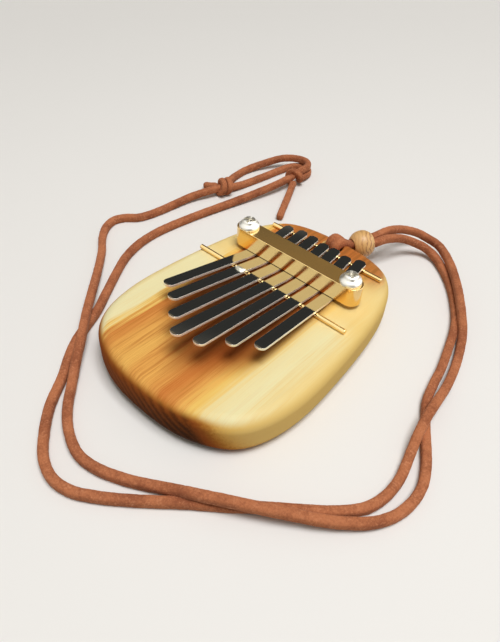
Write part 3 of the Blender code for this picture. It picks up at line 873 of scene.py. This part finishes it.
class TurnBead(bpy.types.Operator):
    """Turn the wooden bead that both halves of the lace run through"""
    bl_idname = "thumb_piano.turn_bead"
    bl_label = "Turn Bead"

    def execute(self, context):
        look = context.scene.thumb_piano.lace
        low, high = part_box("lace_bead")
        centre = (low + high) / 2
        bead = start_piece(
            "bead_turned", bpy.ops.mesh.primitive_uv_sphere_add, segments=48, ring_count=24,
            radius=BEAD_RADIUS)
        edit(bead)
        bores = (look.bead_bore, look.bead_mouth)
        near, far = (math.sqrt(BEAD_RADIUS ** 2 - (bore / 2) ** 2) for bore in bores)
        pick(bead, "VERT", lambda vert: not -near < vert.co.z < far)
        bpy.ops.mesh.delete(type="VERT")
        pick(bead, "EDGE", lambda edge: edge.is_boundary)
        bpy.ops.mesh.bridge_edge_loops(number_cuts=2)
        pick(bead, "EDGE", lambda edge: edge_at_rim(edge, -near * BEAD_RIM, far * BEAD_RIM))
        bpy.ops.mesh.bevel(offset=BEAD_RIM_EASE, segments=3, affect="EDGES")
        bpy.ops.mesh.select_all(action="SELECT")
        bpy.ops.transform.vertex_random(offset=BEAD_UNEVEN, uniform=0.3, seed=5)
        resize_about((0, 0, 0), 1.0, BEAD_WIDER, 1.0)
        close_shape()
        smooth(bead, 50)
        bead.rotation_euler = BEAD_WAY.to_track_quat("Z", "Y").to_euler()
        bead.location = centre
        settle(bead)
        dress(bead, bead_finish(look, centre), "bead_wood", "lace_bead", body="bead")
        return {"FINISHED"}


# Board


def board_outline():
    """Points round the board's outline, from the rear middle and to the right."""
    right = [Vector(point) * MM for point in BOARD_HALF_OUTLINE]
    corners = right + [Vector((-point.x, point.y)) for point in reversed(right[1:-1])]
    points = []
    count = len(corners)
    for index in range(count):
        p0, p1, p2, p3 = (corners[(index + step) % count] for step in (-1, 0, 1, 2))
        for step in range(OUTLINE_STEPS):
            t = step / OUTLINE_STEPS
            bend = (2 * p0 - 5 * p1 + 4 * p2 - p3) * t ** 2 + (3 * p1 - p0 - 3 * p2 + p3) * t ** 3
            points.append(p1 + 0.5 * ((p2 - p0) * t + bend))
    return points


def board_finish(look):
    """Oiled two-tone wood: pale sapwood at both sides, streaked heartwood between, dark end grain in front,
    and painted rust-red shade under the tines.

    All places in it are in millimetres.
    """
    finish = Finish("two_tone_oiled_wood", {"Coat Roughness": 0.4, "Specular IOR Level": 0.08})
    place = finish.millimetres()
    across, along, height = place.parts()
    facing = finish.at("Normal")
    flat = facing.parts()[2].between(0.45, 0.88)
    depth = height - BOARD_TOP
    wander = place.stretched(0.035, 0.02, 0.05).grain(1.0, 2.0) - 0.5
    streaks = place.stretched(1.0, 0.024, 0.2).grain(1.0, 4.0, 0.6) - 0.5
    hairs = place.stretched(6.0, 0.06, 0.4).grain(1.0, 3.0, 0.65) - 0.5
    mottle = place.grain(1.3, 4.0, 0.65)

    tints = (look.sapwood, look.gold, look.honey, look.heartwood)
    sapwood, gold, honey, heartwood = (Vector(tint) for tint in tints)
    layer = across + depth * 0.8 + wander * 5 + streaks * flat * 9
    edge = 36
    layers = (
        (-edge, gold), (-30, sapwood), (-24, sapwood), (-22.2, gold), (-20, heartwood),
        (-17.5, honey.lerp(heartwood, 0.6)), (-14, honey), (-9, honey.lerp(gold, 0.3)),
        (-5, honey.lerp(heartwood, 0.3)), (-1, honey), (3.5, honey.lerp(heartwood, 0.5)), (7, heartwood),
        (10.5, heartwood.lerp(honey, 0.3)), (13, honey), (16.5, gold), (20, sapwood.lerp(gold, 0.25)),
        (25, sapwood), (edge, gold),
    )
    wood = ((layer + edge) / (2 * edge)).ramp([((at + edge) / (2 * edge), tint) for at, tint in layers])
    heart = layer.band(-21, 14, 5.0)
    wood = (hairs.between(-0.05, -0.18) * 0.35).blend(wood, gold)
    lines = streaks.between(0.0, 0.16) * (0.05 + 0.60 * heart)
    wood = lines.larger(hairs.between(0.0, 0.18) * (0.08 + 0.50 * heart)).blend(wood, look.streak)
    wood = (along.between(2, 14) * (1 - heart) * 0.55).blend(wood, gold)
    # Painted shade: a rust-red band under the tines, from a little past their tips to just behind the bar,
    # stands in for the tines' shadow and the red light bounced under them
    reach = along - abs(across - 1.5) * 0.85
    under = reach.between(-42, -27) * along.between(32, 24) * across.band(-18, 17.5, 4.0)
    wood = (under * 0.82).blend(wood, look.painted_tine_shade)

    rear = along.between(25, 37) * (across + wander * 6).band(-18, 23, 7.0) * 0.9
    red = (streaks * 2.2 + 0.5).blend(Vector(look.rear) * 0.5, Vector(look.rear) * 1.35)
    wood = rear.blend(wood, red)

    wall = (1 - flat) * (1 - heart)
    wood = (wall * (0.65 + 0.5 * mottle)).blend(wood, gold)
    side = facing.along(0.97, 0.25, 0).between(0.35, 0.80)
    wood = (side * (0.35 + 0.6 * mottle)).blend(wood, look.side_wall)
    phase = depth * 2.0 + across * 1.6 + wander * 9 + mottle * 3.0
    ring = phase.wave() * 0.5 + 0.5
    spread = across + depth * 0.67 + wander * 2 + mottle * 4
    border = facing.parts()[2].between(0.92, 0.42) * along.between(-12, -24)
    wood = (border * spread.between(28, 20) * 0.9).blend(wood, look.amber)
    front = border * spread.between(25, 18)
    light = (ring * 0.32 + mottle * 0.55 + height * 0.065 - across * 0.014).between(0.35, 1.4)
    light = light.larger(spread.between(14, 19))
    wood = (front * 0.97).blend(wood, light.blend(look.end_grain, look.end_grain_light))
    rough = look.oil + 0.2 * hairs + 0.35 * (1 - flat)
    return finish.set({
        "Base Color": wood, "Roughness": rough, "Coat Weight": 0.08 * flat,
        "Normal": (hairs * 0.6 + streaks * 0.4).bump(0.00005, 0.35),
    })


class ShapeBoard(bpy.types.Operator):
    """Shape the rounded wooden board and bore its lace hole"""
    bl_idname = "thumb_piano.shape_board"
    bl_label = "Shape Board"

    def execute(self, context):
        look = context.scene.thumb_piano.board
        low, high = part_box("board")
        outline = board_outline()
        board = start_piece(
            "board_oiled", bpy.ops.mesh.primitive_circle_add, vertices=len(outline), radius=outline[0].length,
            fill_type="NGON")
        edit(board)
        shape = bmesh.from_edit_mesh(board.data)
        shape.verts.ensure_lookup_table()
        for vert, point in zip(shape.verts, outline):
            vert.co = (point.x, point.y, low.z)
        bmesh.update_edit_mesh(board.data)
        bpy.ops.mesh.select_all(action="SELECT")
        extrude_by(0, 0, high.z - low.z)
        pick(board, "EDGE", lambda edge: abs(edge_run(edge).z) < 0.5)
        bpy.ops.mesh.bevel(offset=look.rounding, segments=10, affect="EDGES", clamp_overlap=False)
        close_shape()
        smooth(board, 50)
        cutter = hole_cutter(look, low.z, high.z)
        cut_out(board, cutter)
        smooth(board, 40)
        dress(board, board_finish(look), "board_wood", "board")
        return {"FINISHED"}


def hole_cutter(look, low, high):
    """The lace hole as a solid, wider at both rims."""
    radius = look.hole / 2
    ease = look.hole_ease
    cutter = start_piece(
        "hole_cutter", bpy.ops.mesh.primitive_circle_add, vertices=64, radius=radius + ease, fill_type="NGON",
        location=(HOLE_MOUTH.x, HOLE_MOUTH.y, low - ease))
    edit(cutter)
    bpy.ops.mesh.select_all(action="SELECT")
    centre = (HOLE_MOUTH.x, HOLE_MOUTH.y, low)
    turns = [math.pi / 2 * step / HOLE_RIM_STEPS for step in range(HOLE_RIM_STEPS + 1)]
    wide = [(low - ease, radius + ease)]
    wide += [(low + ease * math.sin(a), radius + ease * (1 - math.sin(a))) for a in turns]
    wide += [(low + high - z, r) for z, r in reversed(wide)]
    for (z0, r0), (z1, r1) in zip(wide, wide[1:]):
        extrude_by(0, 0, z1 - z0)
        resize_about(centre, r1 / r0, r1 / r0, 1)
    close_shape()
    return cutter


# Brass and steel


def brass_finish(name, look, brush):
    """Polished brass, faintly brushed along one direction."""
    finish = Finish(name, {"Metallic": 1.0})
    place = finish.millimetres()
    scratch = place.stretched(*brush).grain(1.0, 3.0, 0.6)
    cloud = place.grain(0.16, 3.0, 0.6)
    brass = Vector(look.brass)
    tint = (cloud * 0.7 + scratch * 0.3).blend(brass * 0.90, brass.lerp(BRASS_GLINT, 0.35))
    rough = look.brass_polish * 0.7 + 0.10 * scratch * cloud + 0.04 * cloud
    return finish.set({"Base Color": tint, "Roughness": rough, "Normal": scratch.bump(0.000012, 0.35)})


class MillBar(bpy.types.Operator):
    """Mill the brass clamp bar with its round ends and screw bores"""
    bl_idname = "thumb_piano.mill_bar"
    bl_label = "Mill Bar"

    def execute(self, context):
        look = context.scene.thumb_piano.metal
        low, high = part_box("clamp_bar")
        low.z -= BAR_DROP
        size = high - low
        bar = start_piece(
            "bar_brass", bpy.ops.mesh.primitive_cube_add, size=1, location=(low + high) / 2, scale=size)
        edit(bar)
        pick(bar, "EDGE", lambda edge: abs(edge_run(edge).z) > 0.9)
        bpy.ops.mesh.bevel(
            offset=size.y / 2 - BAR_END_FLAT, segments=14, affect="EDGES", clamp_overlap=False)
        pick(bar, "EDGE", lambda edge: abs(edge_run(edge).z) < 0.1)
        bpy.ops.mesh.bevel(offset=look.bar_edge, segments=3, affect="EDGES", clamp_overlap=False)
        close_shape()
        for side in ("left", "right"):
            screw_low, screw_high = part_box("clamp_screw_" + side)
            middle = (screw_low + screw_high) / 2
            bore = start_piece(
                "bar_bore", bpy.ops.mesh.primitive_cylinder_add, vertices=48, radius=BAR_BORE_RADIUS,
                depth=BAR_BORE_DEPTH, location=(middle.x, middle.y, (low.z + high.z) / 2))
            cut_out(bar, bore)
        smooth(bar, 35)
        dress(bar, brass_finish("polished_bar_brass", look, (0.25, 7.0, 7.0)), "bar_brass", "clamp_bar")
        return {"FINISHED"}


class CutRods(bpy.types.Operator):
    """Cut the two brass bridge rods with eased ends"""
    bl_idname = "thumb_piano.cut_rods"
    bl_label = "Cut Rods"

    def execute(self, context):
        look = context.scene.thumb_piano.metal
        brass = brass_finish("drawn_rod_brass", look, (0.35, 9.0, 9.0))
        for name in ("front", "rear"):
            low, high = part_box(name + "_bridge_rod")
            centre = (low + high) / 2
            rod = start_piece(
                name + "_rod_brass", bpy.ops.mesh.primitive_cylinder_add, vertices=48,
                radius=(high.z - low.z) / 2, depth=high.x - low.x, location=centre,
                rotation=(0, math.pi / 2, 0))
            edit(rod)
            pick(rod, "EDGE", lambda edge: abs(edge_run(edge).x) < 0.1)
            bpy.ops.mesh.bevel(offset=look.rod_edge, segments=3, affect="EDGES")
            close_shape()
            smooth(rod, 40)
            dress(rod, brass, "rod_brass", name + "_bridge_rod")
        return {"FINISHED"}


def plating_finish(look):
    """Bright plated steel with faint wear."""
    finish = Finish("bright_screw_plating", {"Metallic": 1.0})
    place = finish.millimetres()
    cloud = place.grain(0.9, 4.0, 0.6)
    plating = Vector(look.plating)
    tint = cloud.blend(plating * 0.86, plating)
    rough = look.plating_polish * 0.6 + 0.16 * cloud
    return finish.set({"Base Color": tint, "Roughness": rough, "Normal": cloud.bump(0.00003, 0.3)})


def screw_recess():
    """The cross recess as a solid that narrows as it goes down."""
    arms = []
    for turn in (0, math.pi / 2):
        arm = start_piece(
            "screw_recess", bpy.ops.mesh.primitive_cube_add, size=1, location=UP * RECESS_HEIGHT,
            scale=RECESS_SIZE, rotation=(0, 0, turn))
        edit(arm)
        pick(arm, "FACE", lambda face: face.normal.z < -0.9)
        resize_about((0, 0, 0), RECESS_TAPER, RECESS_TAPER, 1)
        close_shape()
        arms.append(arm)
    apply_modifier(arms[0], "BOOLEAN", operation="UNION", solver="EXACT", object=arms[1])
    bpy.data.objects.remove(arms[1])
    return arms[0]


def at_brim(point, radius):
    """Whether a point lies at the outer edge of a screw head's underside."""
    return abs(point.z) < 1e-5 and point.length > radius * 0.9


def turn_screw(radius, crown, depth):
    """One screw standing on the origin: its domed head with a cross recess, and its shank below."""
    brim = SCREW_PROFILE[0][1] * crown
    screw = start_piece(
        "screw_blank", bpy.ops.mesh.primitive_cylinder_add, vertices=64, radius=radius, depth=brim,
        location=UP * brim / 2)
    edit(screw)
    pick(screw, "FACE", lambda face: face.normal.z > 0.9)
    for (width0, height0), (width1, height1) in zip(SCREW_PROFILE, SCREW_PROFILE[1:]):
        extrude_by(0, 0, (height1 - height0) * crown)
        resize_about((0, 0, 0), width1 / width0, width1 / width0, 1)
    pick(screw, "FACE", lambda face: face.normal.z < -0.9)
    bpy.ops.mesh.inset(thickness=radius - SCREW_SHANK_RADIUS)
    extrude_by(0, 0, SCREW_POINT - depth)
    extrude_by(0, 0, -SCREW_POINT)
    resize_about((0, 0, 0), SCREW_POINT_WIDTH, SCREW_POINT_WIDTH, 1)
    pick(screw, "EDGE", lambda edge: at_brim(edge_middle(edge), radius))
    bpy.ops.mesh.bevel(offset=SCREW_BRIM_EASE, segments=2, affect="EDGES")
    close_shape()
    cut_out(screw, screw_recess())
    ease_edges(screw, SCREW_EDGE, 2)
    return screw


class DriveScrews(bpy.types.Operator):
    """Turn a domed screw with a cross recess, and drive a copy of it in at both ends of the bar"""
    bl_idname = "thumb_piano.drive_screws"
    bl_label = "Drive Screws"

    def execute(self, context):
        look = context.scene.thumb_piano.metal
        plating = plating_finish(look)
        bar_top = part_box("clamp_bar")[1].z
        low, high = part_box("clamp_screw_left")
        blank = turn_screw((high.x - low.x) / 2, high.z - bar_top, bar_top - low.z)
        for side, turn in SCREW_TURNS:
            low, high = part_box("clamp_screw_" + side)
            screw = copy_piece(blank, "screw_plated_" + side)
            screw.rotation_euler = (0, 0, math.radians(turn))
            screw.location = ((low.x + high.x) / 2, (low.y + high.y) / 2, bar_top)
            settle(screw)
            smooth(screw, 35)
            dress(screw, plating, "screw_steel", "clamp_screw_" + side)
        bpy.data.objects.remove(blank)
        return {"FINISHED"}


def tine_finish(look):
    """Mirror-bright spring steel with hairline scratches along the tine, and duller cut edges."""
    finish = Finish("polished_tine_steel", {})
    place = finish.millimetres()
    cut = abs(finish.at("Normal").parts()[2]).between(0.92, 0.60)
    hairline = place.stretched(9.0, 0.12, 9.0).grain(1.0, 3.0, 0.7)
    smear = place.stretched(0.5, 0.2, 0.5).grain(1.0, 3.0, 0.6)
    speck = place.grain(2.6, 2.0, 0.5).between(0.70, 0.78)
    steel = Vector(look.steel)
    tint = cut.blend(smear.blend(steel * 0.9, steel), look.tine_cut)
    rough = look.steel_polish * 0.6 + 0.06 * smear * hairline + 0.25 * speck * smear
    return finish.set({
        "Base Color": tint, "Roughness": rough.larger(0.30 * cut), "Metallic": 1 - 0.5 * cut,
        "Normal": hairline.bump(0.000006, 0.25),
    })


def tine_lift(y):
    """Height of a tine's underside: pressed down under the bar, straight and rising past each rod."""
    bar_low, bar_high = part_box("clamp_bar")
    bar = (bar_low.y + bar_high.y) / 2
    rods = [sum(corner.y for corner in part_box(name + "_bridge_rod")) / 2 for name in ("front", "rear")]
    reach = (bar - rods[0] if y < bar else rods[1] - bar) - TINE_FLAT
    part = max(0, abs(y - bar) - TINE_FLAT) / reach
    under_bar = bar_low.z - TINE_UNDER_BAR
    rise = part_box("front_bridge_rod")[1].z + ROD_PLAY - under_bar
    if part > 1:
        return under_bar + rise + TINE_RISE * (part - 1)
    return under_bar + part ** 2 * (3 * rise - TINE_RISE + (TINE_RISE - 2 * rise) * part)


class BendTines(bpy.types.Operator):
    """Draw and bend the seven steel tines, each in one piece from rear end to tip"""
    bl_idname = "thumb_piano.bend_tines"
    bl_label = "Bend Tines"

    def execute(self, context):
        look = context.scene.thumb_piano.metal
        steel = tine_finish(look)
        joints = {joint["name"]: joint for joint in frame["joints"]}
        for number in range(1, TINE_COUNT + 1):
            name = "tine_%d" % number
            joint = joints[name + "_flex"]
            tine = bend_tine(name, joint, look)
            dress(tine, steel, "tine_steel", name + "_clamped", name + "_free", body=None)
            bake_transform(tine)
        return {"FINISHED"}


def bend_tine(name, joint, look):
    """One strip of steel, extruded from its rear end to its rounded tip."""
    rod = Vector(joint["pos_m"])
    axis = Vector(joint["axis"])
    turn = math.atan2(axis.y, axis.x)
    half = look.tine_width / 2
    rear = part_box(name + "_clamped")[1].y
    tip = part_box(name + "_free")[0].y
    bend_start, bend_end = rear - look.tine_corner, rod.y - TIP_START
    shares = [step / TINE_STEPS for step in range(TINE_STEPS + 1)]
    sweep = [math.pi / 2 * step / TIP_STEPS for step in range(TIP_STEPS)]
    stations = [(rear, half - look.tine_corner)]
    stations += [(bend_start + (bend_end - bend_start) * part, half) for part in shares]
    stations += [(tip + half * (1 - math.sin(a)), half * math.cos(a)) for a in sweep]
    first_y, first_half = stations[0]
    centre = (0, (first_y - rod.y) / math.cos(turn), tine_lift(first_y) + look.tine_thickness / 2)
    tine = start_piece(
        name + "_steel", bpy.ops.mesh.primitive_plane_add, size=1, rotation=(math.pi / 2, 0, 0),
        location=centre, scale=(2 * first_half, look.tine_thickness, 1))
    edit(tine)
    bpy.ops.mesh.select_mode(type="FACE")
    bpy.ops.mesh.select_all(action="SELECT")
    for (y0, half0), (y1, half1) in zip(stations, stations[1:]):
        extrude_by(0, (y1 - y0) / math.cos(turn), tine_lift(y1) - tine_lift(y0))
        if half1 != half0:
            resize_about((0, 0, 0), half1 / half0, 1, 1)
    close_shape()
    ease_edges(tine, look.tine_edge, 4)
    tine.matrix_world = Matrix.Translation((rod.x, rod.y, 0)) @ Matrix.Rotation(turn, 4, "Z")
    settle(tine)
    smooth(tine, 35)
    return tine


class ThumbPianoPanel(bpy.types.Panel):
    """Lists the steps that make the thumb piano"""
    bl_idname = "VIEW3D_PT_thumb_piano"
    bl_label = "Thumb Piano"
    bl_space_type = "VIEW_3D"
    bl_region_type = "UI"
    bl_category = "Thumb Piano"

    def draw(self, context):
        for step in STEPS:
            self.layout.operator(step.bl_idname)


STEPS = (SetStage, TurnBead, LayLace, ShapeBoard, MillBar, CutRods, DriveScrews, BendTines)
CLASSES = (BoardLook, MetalLook, LaceLook, StageLook, ThumbPianoLook, *STEPS, ThumbPianoPanel)


def register():
    """Make the add-on's classes and settings known to Blender."""
    for each in CLASSES:
        bpy.utils.register_class(each)
    bpy.types.Scene.thumb_piano = PointerProperty(type=ThumbPianoLook)


def unregister():
    """Take the add-on's classes and settings away again."""
    del bpy.types.Scene.thumb_piano
    for each in reversed(CLASSES):
        bpy.utils.unregister_class(each)


def main():
    """Make the whole thumb piano."""
    register()
    bpy.ops.thumb_piano.set_stage()
    bpy.ops.thumb_piano.turn_bead()
    bpy.ops.thumb_piano.lay_lace()
    bpy.ops.thumb_piano.shape_board()
    bpy.ops.thumb_piano.mill_bar()
    bpy.ops.thumb_piano.cut_rods()
    bpy.ops.thumb_piano.drive_screws()
    bpy.ops.thumb_piano.bend_tines()


if __name__ == "__main__":
    main()
